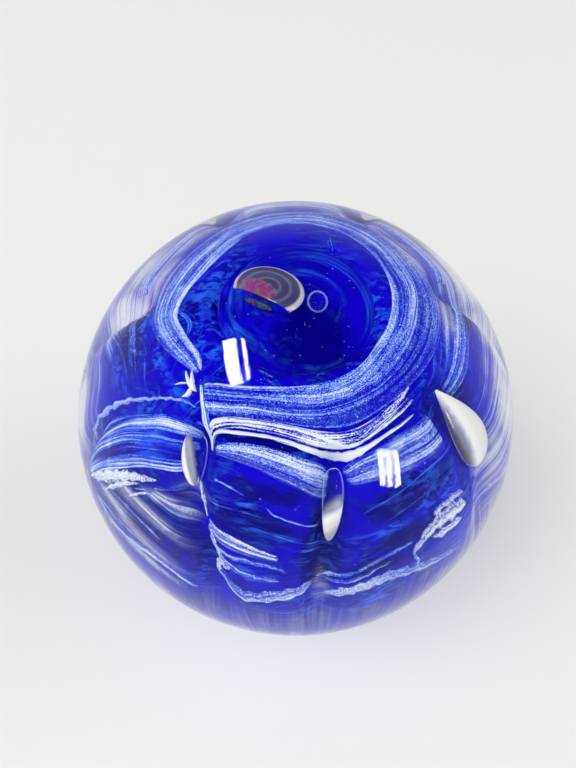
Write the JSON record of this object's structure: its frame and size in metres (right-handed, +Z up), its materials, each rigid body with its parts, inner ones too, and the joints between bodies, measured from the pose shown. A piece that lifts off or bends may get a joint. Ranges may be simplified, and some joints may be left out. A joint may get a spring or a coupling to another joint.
{
  "type": "paperweight",
  "caption": "Round art-glass paperweight: a clear dome cased over a lobed cobalt core with white swirled ribbons and trapped bubbles, resting on a ground flat base.",
  "frame": {"origin": "centre of the ground flat base, on the surface it stands on", "axes": "+Z up through the top of the dome; -Y is the front, the side the picture looks down on; +X is to the right seen from the front"},
  "size_m": [0.08, 0.08, 0.071],
  "materials": {
    "clear_glass": "polished, clear, refractive",
    "cobalt_glass": "deep cobalt glass with pale blue streaks, fused under clear glass",
    "deep_cobalt_glass": "deepest cobalt, a few bright wisps",
    "ice_blue_glass": "combed threads of pale blue, white and cobalt",
    "speckled_frit": "fine white and blue speckle, frosted",
    "milk_white_glass": "opaque milk white, slightly frosted",
    "trapped_air": "trapped air, bright skin and grey middle",
    "oil_film": "iridescent magenta and green film"
  },
  "bodies": {
    "root": {"clear_casing": "clear_glass", "cobalt_core": "cobalt_glass", "eye_disc": "deep_cobalt_glass", "swirl_collar": "ice_blue_glass", "collar_fold": "ice_blue_glass", "upper_crest": "milk_white_glass", "lower_crest": "milk_white_glass", "shoulder_band_1": "speckled_frit", "shoulder_band_2": "speckled_frit", "shoulder_band_3": "speckled_frit", "shoulder_band_4": "speckled_frit", "shoulder_band_5": "speckled_frit", "shoulder_band_6": "speckled_frit", "shoulder_band_7": "speckled_frit", "shoulder_band_8": "speckled_frit", "lower_band_1": "milk_white_glass", "lower_band_2": "milk_white_glass", "lower_band_3": "milk_white_glass", "lower_band_4": "milk_white_glass", "lower_band_5": "milk_white_glass", "lower_band_6": "milk_white_glass", "lower_band_7": "milk_white_glass", "lower_band_8": "milk_white_glass", "left_lobe_edge": "milk_white_glass", "upper_hatch": "milk_white_glass", "lower_hatch": "milk_white_glass", "star_splinter": "milk_white_glass", "white_lump": "milk_white_glass", "eye_bubble": "trapped_air", "small_bubble": "trapped_air", "iridescent_fleck": "oil_film", "teardrop_bubble_left": "trapped_air", "teardrop_bubble_front": "trapped_air", "teardrop_bubble_right": "trapped_air", "teardrop_bubble_back_1": "trapped_air", "teardrop_bubble_back_2": "trapped_air"}
  },
  "joints": []
}
